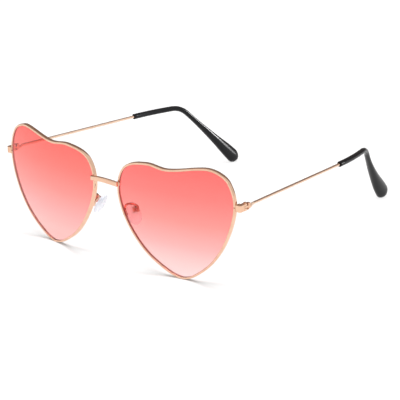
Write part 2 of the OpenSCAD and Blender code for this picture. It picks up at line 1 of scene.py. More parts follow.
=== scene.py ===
import json
from math import cos, floor, pi, radians, sin, sqrt

import bmesh
import bpy
from mathutils import Matrix, Vector
from mathutils.geometry import interpolate_bezier

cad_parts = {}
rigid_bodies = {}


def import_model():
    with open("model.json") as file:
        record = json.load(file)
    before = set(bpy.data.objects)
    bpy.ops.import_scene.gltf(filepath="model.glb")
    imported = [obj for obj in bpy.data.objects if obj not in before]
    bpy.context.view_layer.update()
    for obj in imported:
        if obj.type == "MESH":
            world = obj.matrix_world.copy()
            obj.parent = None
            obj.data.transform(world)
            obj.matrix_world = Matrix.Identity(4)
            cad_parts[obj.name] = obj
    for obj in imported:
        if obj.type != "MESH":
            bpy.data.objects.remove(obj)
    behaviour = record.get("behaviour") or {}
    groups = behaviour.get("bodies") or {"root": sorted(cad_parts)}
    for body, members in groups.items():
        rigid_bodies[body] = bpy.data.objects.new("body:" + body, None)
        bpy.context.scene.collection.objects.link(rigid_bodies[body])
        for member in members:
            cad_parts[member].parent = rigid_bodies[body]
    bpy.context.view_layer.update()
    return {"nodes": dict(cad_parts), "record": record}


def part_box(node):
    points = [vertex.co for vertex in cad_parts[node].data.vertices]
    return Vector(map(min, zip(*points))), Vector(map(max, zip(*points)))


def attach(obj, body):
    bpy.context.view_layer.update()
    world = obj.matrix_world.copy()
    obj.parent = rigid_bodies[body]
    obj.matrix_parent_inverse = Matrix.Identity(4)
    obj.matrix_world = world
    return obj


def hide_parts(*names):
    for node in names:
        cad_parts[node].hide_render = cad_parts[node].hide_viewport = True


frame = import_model()
MM = 0.001
SIDES = {"left": 1, "right": -1}

# Rim and lens. Here and below, lengths are in millimetres, angles in degrees, and shapes
# are those of the left side, which the right side mirrors.
RIM_W = 60.4
RIM_H = 52.8
RIM_T = 1.0
RIM_D = 1.9
RIM_OUTER_R = RIM_T * 0.30
RIM_INNER_R = RIM_T * 0.16
RIM_SPLIT = 0.3
GROOVE_D = 0.5
GROOVE_W = 0.9
GROOVE_FLOOR_HALF = GROOVE_W * 0.3
LENS_T = 1.3
LENS_R = 150
LENS_GAP = 0.08
LENS_EDGE_HALF = GROOVE_W * 0.2
LENS_RING_SHARES = [1, 0.97, 0.92, 0.84, 0.74, 0.62, 0.48, 0.33, 0.18, 0.06]
LENS_CENTRE_UP = RIM_H * 0.06
LENS_SPACING = 74
WRAP = 7.3
TILT = 2.7
SOLDER_GAP = 0.03
HINGE_UP = 11.1
HEART_SHARES = [
    (0.05, -1.00), (0.41, -0.81), (0.71, -0.46), (0.92, 0.00), (1.00, 0.45),
    (0.91, 0.80), (0.75, 0.95), (0.52, 1.00), (-0.09, 0.89), (-0.46, 0.92),
    (-0.85, 0.79), (-1.00, 0.44), (-0.93, 0.00), (-0.69, -0.46), (-0.39, -0.78),
]
HEART_STEPS = 12

# Bridge
BRIDGE_H = 2.2
BRIDGE_T = 1.4
BRIDGE_UP = 12.1
BRIDGE_LAP = 0.9
BRIDGE_BOW = 0.9
BRIDGE_ARCH = 0.8
BRIDGE_EDGE_R = BRIDGE_T * 0.3
BRIDGE_STEPS = 40

# Nose pads and their arms
PAD_L = 10.5
PAD_W = 6.6
PAD_T = 2.4
PAD_OUT = 10.2
PAD_BACK = 5.0
PAD_DOWN = 2.5
PAD_FLARE = 27
PAD_LEAN = 14
PAD_SPLAY = 20
PAD_NARROW_SHARE = 0.16
PAD_FACE_SHARE = 0.62
PAD_ROUND_SHARE = 0.86
PAD_STEPS = 14
PAD_SIDES = 48
ARM_DIA = 1
ARM_STEPS = 9
ARM_SIDES = 20
PAD_SCREW_DIA = 0.8
BOX_WALL = 0.4

# Temple and ear tip
WIRE_DIA = 1.3
WIRE_FALL = 2.4
WIRE_STEP = 0.7
WIRE_STEP_L = WIRE_DIA * 1.6
WIRE_SIDES = 24
HEAD_STEP = WIRE_DIA * 0.2
HEAD_STEPS = 15
WIRE_STEPS = 60
WIRE_IN_SLEEVE_SHARE = 0.5
COURSE_COUNT = 68
EAR_BEND_AT = 99.1
EAR_DROP = 44.7
EAR_BEND_R = 11
EAR_ANGLE = 46.5
TOE_IN = 5.1
TIP_TOE_IN = 27.5
SLEEVE_TURN_SHARE = 0.6
SLEEVE_FALL_SHARE = 0.05
END_TURN_SHARE = 0.39
TIP_AT = 71
TIP_MOUTH_DIA = 2.6
PADDLE_W = 7.2
PADDLE_T = 4.8
SLEEVE_GAP = 0.05
SLEEVE_STEPS = 70
SLEEVE_SIDES = 32


def mix(a, b, t):
    return a * (1 - t) + b * t


def smooth(t):
    k = min(1, max(0, t))
    return k * k * (3 - 2 * k)


def lookup(table, t):
    """Straight line between the neighbours of t in a table of pairs"""
    for (a, p), (b, q) in zip(table, table[1:]):
        if t < b:
            return mix(p, q, max(0, (t - a) / (b - a)))
    return table[-1][1]


def curve_through(points, ways, steps):
    """A smooth curve through points that have a way each, without its last point"""
    line = []
    for a, b, leaving, arriving in zip(points, points[1:], ways, ways[1:]):
        third = (b - a).length / 3
        line += interpolate_bezier(a, a + leaving * third, b - arriving * third, b, steps + 1)[:-1]
    return line


def loop_ways(points):
    """The way along a closed loop, at each of its points"""
    before, after = points[-1:] + points[:-1], points[1:] + points[:1]
    return [(b - a).normalized() for a, b in zip(before, after)]


def line_ways(points):
    """The way along an open line, at each of its points"""
    before, after = points[:1] + points[:-1], points[1:] + points[-1:]
    return [(b - a).normalized() for a, b in zip(before, after)]


# The heart's outline, at the outer face of the rim: points and ways out
def heart_outline():
    corners = [Vector((u * RIM_W / 2, v * RIM_H / 2)) for u, v in HEART_SHARES]
    ways = loop_ways(corners)
    line = curve_through(corners + corners[:1], ways + ways[:1], HEART_STEPS)
    return [Vector(p[:2]) for p in line]


OUTLINE = heart_outline()
OUTWARD = [Vector((w.y, -w.x)) for w in loop_ways(OUTLINE)]


def inset_outline(depth):
    return [p - w * depth for p, w in zip(OUTLINE, OUTWARD)]


def bulge(u, v):
    """How far the lens's curve has gone back, at a place across and up from its middle"""
    return LENS_R - sqrt(LENS_R * LENS_R - u * u - v * v)


LENS_TURN = Matrix.Rotation(radians(WRAP), 3, "Z") @ Matrix.Rotation(radians(TILT), 3, "X")


def on_lens(u, v, w):
    """A place across, up and behind the lens's curve, with its middle at height zero"""
    return LENS_TURN @ Vector((u, bulge(u, v) + w, v)) + Vector((LENS_SPACING / 2, 0, 0))


LENS_Z = -min(on_lens(p.x, p.y, w).z for p in OUTLINE for w in (-RIM_D / 2, RIM_D / 2))


def standing(u, v, w):
    """The same place, with the rims standing on the floor"""
    return on_lens(u, v, w) + Vector((0, 0, LENS_Z))


def crossing(height, temple_side):
    """Index of the outline's point next to a height, on one side of the heart"""
    for i, p in enumerate(OUTLINE):
        q = OUTLINE[(i + 1) % len(OUTLINE)]
        if (p.x > 0) == temple_side and (p.y - height) * (q.y - height) <= 0:
            return i
    raise ValueError("the outline does not reach that height")


def outline_at(height, temple_side):
    i = crossing(height, temple_side)
    a, b = OUTLINE[i], OUTLINE[(i + 1) % len(OUTLINE)]
    return mix(a, b, (height - a.y) / (b.y - a.y))


# The front's place in the shared frame follows the bridge's foremost point
bridge_end = on_lens(outline_at(BRIDGE_UP, False).x + BRIDGE_LAP, BRIDGE_UP, -RIM_D / 2)
bridge_y = bridge_end.y - BRIDGE_T / 2 - SOLDER_GAP
FRONT_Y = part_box("bridge")[0][1] / MM - (bridge_y - BRIDGE_T / 2 - BRIDGE_BOW)


def placed(point, side):
    """From millimetres of the left side to metres of the shared frame"""
    return Vector((point.x * side, point.y + FRONT_Y, point.z)) * MM


# Shapes carried along a route
def loft(rings):
    """Bridges closed rings of points, one after the other, and closes both ends"""
    bm = bmesh.new()
    loops = []
    for ring in rings:
        verts = [bm.verts.new(p) for p in ring]
        loops.append([bm.edges.new((verts[i - 1], verts[i])) for i in range(len(verts))])
    for a, b in zip(loops, loops[1:]):
        bmesh.ops.bridge_loops(bm, edges=a + b)
    for loop in (loops[0], loops[-1]):
        bmesh.ops.edgeloop_fill(bm, edges=loop)
    bmesh.ops.recalc_face_normals(bm, faces=bm.faces)
    return bm


def round_section(at, side, up, half_w, half_t, count):
    """A ring of an oval across a route"""
    turns = [(k + 0.5) * 2 * pi / count for k in range(count)]
    return [at + side * half_t * cos(a) + up * half_w * sin(a) for a in turns]


def arc(x, y, radius, start):
    """Four points on a quarter circle about a middle"""
    turns = [radians(start + 30 * k) for k in range(4)]
    return [(x + radius * cos(a), y + radius * sin(a)) for a in turns]


def tidy_shading(piece, sharp_angle):
    for face in piece.data.polygons:
        face.use_smooth = True
    bpy.context.view_layer.objects.active = piece
    piece.select_set(True)
    bpy.ops.object.shade_smooth_by_angle(angle=radians(sharp_angle))
    piece.select_set(False)


def made(bm, name, body, material, nodes=(), sharp_angle=40):
    """Turns a finished bmesh into a piece that rides on a body"""
    mesh = bpy.data.meshes.new(name)
    bm.to_mesh(mesh)
    bm.free()
    piece = bpy.data.objects.new(name, mesh)
    bpy.context.scene.collection.objects.link(piece)
    piece.data.materials.append(material)
    tidy_shading(piece, sharp_angle)
    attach(piece, body)
    if nodes:
        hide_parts(*nodes)
    return piece


def ease_edges(piece, width, sharp_angle, harden=False):
    """Rounds the edges that are sharper than an angle"""
    ease = piece.modifiers.new("ease", "BEVEL")
    ease.width = width * MM
    ease.segments = 3
    ease.limit_method = "ANGLE"
    ease.angle_limit = radians(sharp_angle)
    ease.harden_normals = harden


def eased_copy(node, name, body, material, width):
    """A copy of a solid with its sharp edges eased, as tumbling leaves them"""
    bm = bmesh.new()
    bm.from_mesh(frame["nodes"][node].data)
    bmesh.ops.remove_doubles(bm, verts=bm.verts, dist=MM * 1e-3)
    bmesh.ops.dissolve_limit(bm, angle_limit=radians(1), verts=bm.verts, edges=bm.edges)
    piece = made(bm, name, body, material, [node])
    ease_edges(piece, width, sharp_angle=40, harden=True)


# Materials
def new_material(name):
    material = bpy.data.materials.new(name)
    material.use_nodes = True
    return material, material.node_tree, material.node_tree.nodes["Principled BSDF"]


def add(tree, kind, **values):
    """A node with its settings, and the values of its sockets"""
    node = tree.nodes.new(kind)
    for key, value in values.items():
        if hasattr(node, key):
            setattr(node, key, value)
        else:
            node.inputs[key.replace("_", " ")].default_value = value
    return node


def noise(tree, scale, detail, stretch=None):
    """Noise that keeps its place on the piece"""
    place = add(tree, "ShaderNodeTexCoord").outputs["Object"]
    if stretch:
        drawn_out = add(tree, "ShaderNodeMapping", Scale=stretch)
        tree.links.new(place, drawn_out.inputs["Vector"])
        place = drawn_out.outputs["Vector"]
    pattern = add(tree, "ShaderNodeTexNoise", Scale=scale, Detail=detail)
    tree.links.new(place, pattern.inputs["Vector"])
    return pattern.outputs["Fac"]


def ranged(tree, value, source=(0, 1), target=(0, 1), way="LINEAR"):
    """The value carried from one range to another, and held inside it"""
    node = add(
        tree, "ShaderNodeMapRange", interpolation_type=way,
        From_Min=source[0], From_Max=source[1], To_Min=target[0], To_Max=target[1],
    )
    tree.links.new(value, node.inputs["Value"])
    return node.outputs["Result"]


def ramp(tree, value, colours):
    """Colours at shares of the value, straight in between"""
    node = add(tree, "ShaderNodeValToRGB")
    stops = node.color_ramp.elements
    while len(stops) < len(colours):
        stops.new(0.5)
    for stop, (share, colour) in zip(stops, colours):
        stop.position = share
        stop.color = (*colour, 1)
    tree.links.new(value, node.inputs["Fac"])
    return node.outputs["Color"]


def relief(tree, shader, height, strength, depth):
    """Fine marks in a surface, with their depth in millimetres"""
    bump = add(tree, "ShaderNodeBump", Strength=strength, Distance=depth * MM)
    tree.links.new(height, bump.inputs["Height"])
    tree.links.new(bump.outputs["Normal"], shader.inputs["Normal"])


# Sizes of the surface patterns, as features per metre
CLOUDING_SCALE = 240
WIPING_SCALE = 5200
WIPING_STRETCH = (1, 0.12, 1)
SMEAR_SCALE = 90
GRAIN_SCALE = 700
RIPPLE_SCALE = 160
HANDLING_SCALE = 70
# How strongly each material bends and mirrors light
LENS_IOR = 1.35
PAD_IOR = 1.4
TIP_IOR = 1.3


def polish_group():
    """Polish: soft clouding, fine wiping marks and a slight change of tone"""
    group = bpy.data.node_groups.new("polish", "ShaderNodeTree")
    for label, kind, value in (
        ("Tone", "NodeSocketColor", (0.8, 0.8, 0.8, 1)),
        ("Shade", "NodeSocketColor", (0.6, 0.6, 0.6, 1)),
        ("Roughness", "NodeSocketFloat", 0.1),
        ("Clouding", "NodeSocketFloat", 0.05),
    ):
        socket = group.interface.new_socket(name=label, in_out="INPUT", socket_type=kind)
        socket.default_value = value
    for label, kind in (
        ("Color", "NodeSocketColor"), ("Roughness", "NodeSocketFloat"),
        ("Height", "NodeSocketFloat"),
    ):
        group.interface.new_socket(name=label, in_out="OUTPUT", socket_type=kind)
    given, out = group.nodes.new("NodeGroupInput"), group.nodes.new("NodeGroupOutput")
    link = group.links.new
    cloud = ranged(group, noise(group, CLOUDING_SCALE, 3), (0.42, 0.72))
    tone = add(group, "ShaderNodeMix", data_type="RGBA")
    link(cloud, tone.inputs["Factor"])
    link(given.outputs["Tone"], tone.inputs[6])
    link(given.outputs["Shade"], tone.inputs[7])
    haze = add(group, "ShaderNodeMath", operation="MULTIPLY_ADD")
    link(cloud, haze.inputs[0])
    link(given.outputs["Clouding"], haze.inputs[1])
    link(given.outputs["Roughness"], haze.inputs[2])
    link(tone.outputs[2], out.inputs["Color"])
    link(haze.outputs["Value"], out.inputs["Roughness"])
    link(noise(group, WIPING_SCALE, 2, WIPING_STRETCH), out.inputs["Height"])
    return group


POLISH = polish_group()


def gold(name, tone, shade, roughness, clouding, mark_depth):
    """Rose gold plating on polished metal"""
    material, tree, shader = new_material(name)
    link = tree.links.new
    finish = add(
        tree, "ShaderNodeGroup", node_tree=POLISH,
        Tone=(*tone, 1), Shade=(*shade, 1), Roughness=roughness, Clouding=clouding,
    )
    link(finish.outputs["Color"], shader.inputs["Base Color"])
    link(finish.outputs["Roughness"], shader.inputs["Roughness"])
    relief(tree, shader, finish.outputs["Height"], 1, mark_depth)
    shader.inputs["Metallic"].default_value = 1
    return material


# Tint of each lens from its bottom to its top, as shares of its height. The lenses share one
# graded tint; where the two tables differ, that is painted light and shade for how each lens is
# lit
TINT_AND_LIGHT_SHARES = {
    "left": [
        (0.00, (0.985, 0.720, 0.720)), (0.14, (0.985, 0.625, 0.610)),
        (0.30, (0.985, 0.456, 0.442)), (0.52, (0.985, 0.303, 0.277)),
        (0.75, (0.985, 0.207, 0.190)), (1.00, (0.955, 0.155, 0.144)),
    ],
    "right": [
        (0.00, (0.985, 0.540, 0.520)), (0.14, (0.985, 0.525, 0.500)),
        (0.30, (0.985, 0.415, 0.402)), (0.52, (0.985, 0.288, 0.263)),
        (0.75, (0.985, 0.193, 0.167)), (1.00, (0.955, 0.140, 0.122)),
    ],
}


def tinted_moulding(low, high, tints_and_light):
    """Clear moulding, tinted by height and faintly smeared"""
    material, tree, shader = new_material("lens_tint_graded")
    link = tree.links.new
    split = add(tree, "ShaderNodeSeparateXYZ")
    link(add(tree, "ShaderNodeTexCoord").outputs["Object"], split.inputs["Vector"])
    level = ranged(tree, split.outputs["Z"], (low, high))
    smears = ranged(tree, noise(tree, SMEAR_SCALE, 4), (0.45, 0.8), (0, 0.03))
    link(ramp(tree, level, tints_and_light), shader.inputs["Base Color"])
    link(smears, shader.inputs["Roughness"])
    shader.inputs["Transmission Weight"].default_value = 1
    shader.inputs["IOR"].default_value = LENS_IOR
    return material


def clear_moulding(name, tone, roughness, middle_alpha, edge_alpha):
    """Clear moulding that looks denser towards its edge, where it is seen through its depth"""
    material, tree, shader = new_material(name)
    link = tree.links.new
    grain = noise(tree, GRAIN_SCALE, 3)
    slant = add(tree, "ShaderNodeLayerWeight", Blend=0.35)
    haze = ranged(tree, grain, target=(roughness, roughness * 2))
    depth = ranged(tree, slant.outputs["Facing"], target=(middle_alpha, edge_alpha))
    link(haze, shader.inputs["Roughness"])
    link(depth, shader.inputs["Alpha"])
    relief(tree, shader, grain, 0.4, 0.02)
    shader.inputs["Base Color"].default_value = (*tone, 1)
    shader.inputs["IOR"].default_value = PAD_IOR
    return material


def black_moulding():
    """Gloss black sleeve: faint moulding ripple and handled patches"""
    material, tree, shader = new_material("tip_black_gloss")
    link = tree.links.new
    handled = noise(tree, HANDLING_SCALE, 4)
    haze = ranged(tree, handled, (0.35, 0.7), (0.13, 0.2))
    tone = ramp(tree, handled, [(0, (0.0025, 0.0027, 0.0032)), (1, (0.006, 0.0064, 0.0072))])
    link(haze, shader.inputs["Roughness"])
    link(tone, shader.inputs["Base Color"])
    relief(tree, shader, noise(tree, RIPPLE_SCALE, 2), 0.08, 0.05)
    shader.inputs["IOR"].default_value = TIP_IOR
    return material


# Each gold has a tone, a shade, a roughness, its clouding and the depth of its marks
FRAME_GOLD = gold(
    "frame_gold_polished", (0.82, 0.545, 0.39), (0.77, 0.475, 0.33), 0.08, 0.05, 0.004)
# The wires are the frame's gold with a paler tone, as painted light for the bright floor that they
# reflect
WIRE_GOLD_PAINTED_LIGHT = gold(
    "wire_gold_polished", (0.90, 0.66, 0.51), (0.86, 0.59, 0.44), 0.08, 0.05, 0.004)
# The groove's gold is rougher, and its tone is darkened as painted shade between rim and lens
GROOVE_GOLD_PAINTED_SHADE = gold(
    "frame_gold_groove", (0.62, 0.34, 0.27), (0.54, 0.28, 0.21), 0.3, 0.1, 0.01)
# The pad arms and cups take a darker copy of the gold, rougher, with its tone painted darker as
# painted shade for the dark surroundings they reflect
ARM_GOLD_PAINTED_SHADE = gold(
    "arm_gold_drawn", (0.70, 0.45, 0.33), (0.60, 0.37, 0.26), 0.16, 0.1, 0.006)
HINGE_GOLD = gold(
    "hinge_gold_stamped", (0.83, 0.535, 0.37), (0.76, 0.455, 0.305), 0.13, 0.09, 0.008)
SCREW_GOLD = gold(
    "screw_turned", (0.90, 0.58, 0.40), (0.80, 0.48, 0.32), 0.2, 0.12, 0.01)
SOLDER_GOLD = gold(
    "solder_gold_flowed", (0.88, 0.60, 0.46), (0.82, 0.52, 0.39), 0.2, 0.15, 0.01)
SILICONE = clear_moulding("pad_silicone_clear", (0.72, 0.76, 0.84), 0.1, 0.32, 0.72)
PAD_CORE = clear_moulding("pad_core_clear", (0.66, 0.70, 0.76), 0.12, 0.32, 0.7)
TIP_BLACK = black_moulding()


# Rim: a grooved wire round the lens, split at the hinge's height
def rim_section():
    """Inward from the outline, and along the depth, with the groove inside"""
    outer, inner, half = RIM_OUTER_R, RIM_INNER_R, RIM_D / 2
    points = arc(outer, -half + outer, outer, 180)
    points += arc(RIM_T - inner, -half + inner, inner, 270)
    points += [(RIM_T, -GROOVE_W / 2), (RIM_T - GROOVE_D, -GROOVE_FLOOR_HALF)]
    points += [(RIM_T - GROOVE_D, GROOVE_FLOOR_HALF), (RIM_T, GROOVE_W / 2)]
    points += arc(RIM_T - inner, half - inner, inner, 0)
    points += arc(outer, half - outer, outer, 90)
    return points


RIM_SECTION = rim_section()


def rim_ring(point, outward, side):
    """The rim's section at a point of the outline, laid square to the lens's own plane"""
    ring = []
    for inward, depth in RIM_SECTION:
        q = point - outward * inward
        w = bulge(point.x, point.y) - bulge(q.x, q.y) + depth
        ring.append(placed(standing(q.x, q.y, w), side))
    return ring


def rim(side_name):
    side = SIDES[side_name]
    start = crossing(HINGE_UP, True)
    out = OUTWARD[start]
    split = outline_at(HINGE_UP, True)
    rings = [rim_ring(outline_at(HINGE_UP + RIM_SPLIT / 2, True), out, side)]
    for k in range(1, len(OUTLINE)):
        i = (start + k) % len(OUTLINE)
        if (OUTLINE[i] - split).length > RIM_T / 2:
            rings.append(rim_ring(OUTLINE[i], OUTWARD[i], side))
    rings.append(rim_ring(outline_at(HINGE_UP - RIM_SPLIT / 2, True), out, side))
    bm = loft(rings)
    bm.verts.index_update()
    # The inner face, with the groove in it, is rougher, and its tone is painted darker as painted
    # shade where the rim meets the lens
    groove_floor = RIM_T - GROOVE_D
    painted_shade_wall = {k for k, (inward, depth) in enumerate(RIM_SECTION) if inward > groove_floor - 0.01}
    for face in bm.faces:
        if {vert.index % len(RIM_SECTION) for vert in face.verts} <= painted_shade_wall:
            face.material_index = 1
    name, nodes = "eyewire_" + side_name, ["rim_" + side_name]
    piece = made(bm, name, "front", FRAME_GOLD, nodes, sharp_angle=50)
    piece.data.materials.append(GROOVE_GOLD_PAINTED_SHADE)


# Lens: two curved faces that meet in a bevel, which stands in the rim's groove
def lens(side_name):
    side = SIDES[side_name]
    edge = inset_outline(RIM_T - GROOVE_D + LENS_GAP)
    body = inset_outline(RIM_T + LENS_GAP)
    middle = Vector((0, LENS_CENTRE_UP))

    def ring(outline, share, w):
        points = [middle + (p - middle) * share for p in outline]
        return [placed(standing(p.x, p.y, w), side) for p in points]

    rings = [ring(body, share, -LENS_T / 2) for share in reversed(LENS_RING_SHARES)]
    rings.append(ring(edge, 1, -LENS_EDGE_HALF))
    rings.append(ring(edge, 1, LENS_EDGE_HALF))
    rings += [ring(body, share, LENS_T / 2) for share in LENS_RING_SHARES]
    low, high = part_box("lens_" + side_name)
    material = tinted_moulding(low[2], high[2], TINT_AND_LIGHT_SHARES[side_name])
    name, nodes = "tinted_lens_" + side_name, ["lens_" + side_name]
    made(loft(rings), name, "front", material, nodes, sharp_angle=20)


# Bridge: a bar with rounded edges, soldered to the fronts of both rims
def bridge():
    radius = BRIDGE_EDGE_R
    y, z = BRIDGE_T / 2 - radius, BRIDGE_H / 2 - radius
    section = arc(y, z, radius, 0) + arc(-y, z, radius, 90)
    section += arc(-y, -z, radius, 180) + arc(y, -z, radius, 270)
    rings = []
    for i in range(BRIDGE_STEPS + 1):
        t = 2 * i / BRIDGE_STEPS - 1
        rise = cos(pi / 2 * t)
        height = LENS_Z + BRIDGE_UP + BRIDGE_ARCH * rise
        at = Vector((bridge_end.x * t, bridge_y - BRIDGE_BOW * rise, height))
        rings.append([placed(at + Vector((0, a, b)), 1) for a, b in section])
    bm, nodes = loft(rings), ["bridge"]
    piece = made(bm, "bridge_bar", "front", FRAME_GOLD, nodes, sharp_angle=50)
    ease_edges(piece, width=0.25, sharp_angle=60)


# Temple: the wire's course, as turns along its length
bend_l = EAR_BEND_R * radians(EAR_ANGLE)
bend_from, bend_to = EAR_BEND_AT - bend_l / 2, EAR_BEND_AT + bend_l / 2
sleeve_end = EAR_BEND_AT + EAR_DROP
sleeve_l = sleeve_end - TIP_AT
course_step = sleeve_end / COURSE_COUNT
PITCH = [
    (0, WIRE_FALL), (TIP_AT, WIRE_FALL), (bend_from, EAR_ANGLE * SLEEVE_FALL_SHARE),
    (bend_to, EAR_ANGLE), (sleeve_end, EAR_ANGLE),
]
YAW = [
    (0, TOE_IN), (TIP_AT, TOE_IN), (bend_from, TIP_TOE_IN * SLEEVE_TURN_SHARE),
    (bend_to, TIP_TOE_IN), (sleeve_end, TIP_TOE_IN * END_TURN_SHARE),
]


def course_way(s):
    """The way along the wire, at a length from its head"""
    pitch, yaw = radians(lookup(PITCH, s)), radians(lookup(YAW, s))
    return Vector((-sin(yaw) * cos(pitch), cos(yaw) * cos(pitch), -sin(pitch)))


def wire_course():
    """Points along the wire, from its head"""
    leaf_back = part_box("temple_leaf_left")[1][1] / MM - FRONT_Y
    joints = frame["record"]["behaviour"]["joints"]
    fold = next(joint for joint in joints if joint["child"] == "left_temple")
    pivot = Vector(fold["pos_m"]) / MM
    points = [Vector((pivot.x, leaf_back + SOLDER_GAP, pivot.z - WIRE_STEP))]
    for i in range(COURSE_COUNT):
        points.append(points[-1] + course_way((i + 0.5) * course_step) * course_step)
    return points


COURSE = wire_course()


def course_point(s):
    """Middle of the wire at a length from its head, with the step up behind the hinge"""
    k = min(COURSE_COUNT - 1, max(0, floor(s / course_step)))
    step = WIRE_STEP * smooth((s - WIRE_DIA / 2) / WIRE_STEP_L)
    return mix(COURSE[k], COURSE[k + 1], s / course_step - k) + Vector((0, 0, step))


def course_side(s):
    """The way outward, square to the wire, along which the sleeve is thin"""
    w = course_way(s)
    lean = smooth((s - bend_from) / bend_l)
    return mix(Vector((w.y, -w.x, 0)), Vector((-w.z, 0, w.x)), lean).normalized()


def course_ring(s, half_w, half_t, count):
    side = course_side(s)
    up = side.cross(course_way(s))
    return round_section(course_point(s), side, up, half_w, half_t, count)


# Ear tip: its width and thickness, as shares of the paddle's, by shares of its length
mouth_w_share = TIP_MOUTH_DIA / PADDLE_W
mouth_t_share = TIP_MOUTH_DIA / PADDLE_T
WIDTH_SHARES = [
    (0, mouth_w_share), (0.3, mouth_w_share * 0.98), (0.44, 0.34), (0.56, 0.33),
    (0.68, 0.49), (0.80, 0.72), (0.90, 1), (0.945, 1),
]
THICK_SHARES = [
    (0, mouth_t_share), (0.3, mouth_t_share * 1.04), (0.5, 0.57), (0.68, 0.87), (0.84, 0.95),
    (1, 1),
]
KINK_SHARE = 0.03
# The rounded end's length, as a share of the sleeve's, and the turns of its rings
END_CAP_SHARE = 0.5 * PADDLE_W / sleeve_l
CAP_TURNS = range(8, 88, 6)
# The sleeve's mouth, from inside its bore to its outer side: length from the mouth, and radius
BORE_R = WIRE_DIA / 2 + SLEEVE_GAP
MOUTH_R = TIP_MOUTH_DIA / 2
MOUTH = [
    (5, BORE_R), (0.5, BORE_R), (0, BORE_R + 0.12), (0, MOUTH_R - 0.25),
    (0.12, MOUTH_R - 0.06), (0.35, MOUTH_R),
]


def cap_shape(t):
    """What the rounded end leaves of the full width, at a share of the sleeve's length"""
    past = (t - 1 + END_CAP_SHARE) / END_CAP_SHARE
    return sqrt(max(0, 1 - past * past)) if past > 0 else 1


def eased_lookup(table, t):
    """The table's value with its kinks rounded off"""
    return sum(lookup(table, t + KINK_SHARE * k) for k in (-2, -1, 0, 1, 2)) / 5


def sleeve_ring(t, count):
    half_w = eased_lookup(WIDTH_SHARES, t) * PADDLE_W / 2 * cap_shape(t)
    half_t = eased_lookup(THICK_SHARES, t) * PADDLE_T / 2 * sqrt(cap_shape(t))
    return course_ring(TIP_AT + t * sleeve_l, half_w, half_t, count)


def sleeve_stations():
    body = [k / SLEEVE_STEPS * (1 - END_CAP_SHARE) for k in range(SLEEVE_STEPS + 1)]
    return body + [1 - END_CAP_SHARE * (1 - sin(radians(a))) for a in CAP_TURNS]


# The lowest point of the ear tip before it is trimmed, found with half its sides
raw_sleeve = [p for t in sleeve_stations() for p in sleeve_ring(t, SLEEVE_SIDES // 2)]
tip_low = min(raw_sleeve, key=lambda p: p.z)


def trimmed(ring, side):
    """The temple's fall, trimmed so that the ear tip stands on the floor"""
    start = COURSE[0].y
    drops = [tip_low.z * (p.y - start) / (tip_low.y - start) for p in ring]
    return [placed(Vector((p.x, p.y, p.z - drop)), side) for p, drop in zip(ring, drops)]


def temple_wire(side_name):
    side = SIDES[side_name]
    radius = WIRE_DIA / 2
    end = TIP_AT + sleeve_l * WIRE_IN_SLEEVE_SHARE
    near = [k * HEAD_STEP for k in range(HEAD_STEPS + 1)]
    far = [near[-1] + (end - near[-1]) * k / WIRE_STEPS for k in range(1, WIRE_STEPS + 1)]
    rings = [trimmed(course_ring(s, radius, radius, WIRE_SIDES), side) for s in near + far]
    name, body = "temple_wire_round_" + side_name, side_name + "_temple"
    made(loft(rings), name, body, WIRE_GOLD_PAINTED_LIGHT, ["temple_wire_" + side_name])


def ear_tip(side_name):
    """A moulded sleeve: its mouth is bored for the wire"""
    rings = [course_ring(TIP_AT + s, radius, radius, SLEEVE_SIDES) for s, radius in MOUTH]
    rings += [sleeve_ring(t, SLEEVE_SIDES) for t in sleeve_stations()[1:]]
    rings = [trimmed(ring, SIDES[side_name]) for ring in rings]
    name, body = "ear_sleeve_" + side_name, side_name + "_temple"
    nodes = ["ear_tip_" + side_name]
    made(loft(rings), name, body, TIP_BLACK, nodes, sharp_angle=60)


# Nose pad: a soft oval, placed by its middle
PAD_TURN = (
    Matrix.Rotation(radians(-PAD_LEAN), 3, "X")
    @ Matrix.Rotation(radians(-PAD_FLARE), 3, "Y")
    @ Matrix.Rotation(radians(-PAD_SPLAY), 3, "Z")
)
PAD_MIDDLE = Vector((PAD_OUT, PAD_BACK, LENS_Z - PAD_DOWN))


def pad_place(point):
    """From the pad's own frame, with its thickness along x and its length along z"""
    return PAD_TURN @ point + PAD_MIDDLE


def nose_pad(side_name):
    side = SIDES[side_name]
    rings = []
    for i in range(PAD_STEPS + 1):
        turn = radians(90 * (2 * i / PAD_STEPS - 1) * PAD_ROUND_SHARE)
        grow = mix(PAD_FACE_SHARE, 1, cos(turn))
        ring = []
        for k in range(PAD_SIDES):
            a = 2 * pi * k / PAD_SIDES
            across = PAD_W / 2 * cos(a) * (1 - PAD_NARROW_SHARE * sin(a)) * grow
            point = Vector((PAD_T / 2 * sin(turn), across, PAD_L / 2 * sin(a) * grow))
            ring.append(placed(pad_place(point), side))
        rings.append(ring)
    name, body = "nose_pad_soft_" + side_name, side_name + "_pad"
    nodes = ["nose_pad_" + side_name]
    piece = made(loft(rings), name, body, SILICONE, nodes, sharp_angle=60)
    ease_edges(piece, width=0.3, sharp_angle=30)


# Pad arm: a drawn wire from the rim's back, up, back and down to the pad cup
LUG_W = PAD_SCREW_DIA * 2.1
PAD_AXIS = Vector((PAD_T / 2 + LUG_W * 0.62, 0, PAD_L * 0.1))
BOX_H = PAD_SCREW_DIA + 4.5 * BOX_WALL
# Lifts over the pad's axis between which the wire lies on the cup's back
CUP_TOP = BOX_H * 0.1
CUP_FOOT = -BOX_H * 0.4


def rim_back(v):
    """Middle of the wire where it lies along the rim's back"""
    p = outline_at(v, False)
    q = p.x + RIM_T / 2
    depth = bulge(p.x, v) - bulge(q, v) + RIM_D / 2 + ARM_DIA / 2 + 3 * SOLDER_GAP
    return standing(q, v, depth)


def cup_back(lift):
    """Middle of the wire where it lies along the pad cup's back"""
    return pad_place(PAD_AXIS + Vector((LUG_W / 2 + BOX_WALL + ARM_DIA / 2 + SOLDER_GAP, 0, lift)))


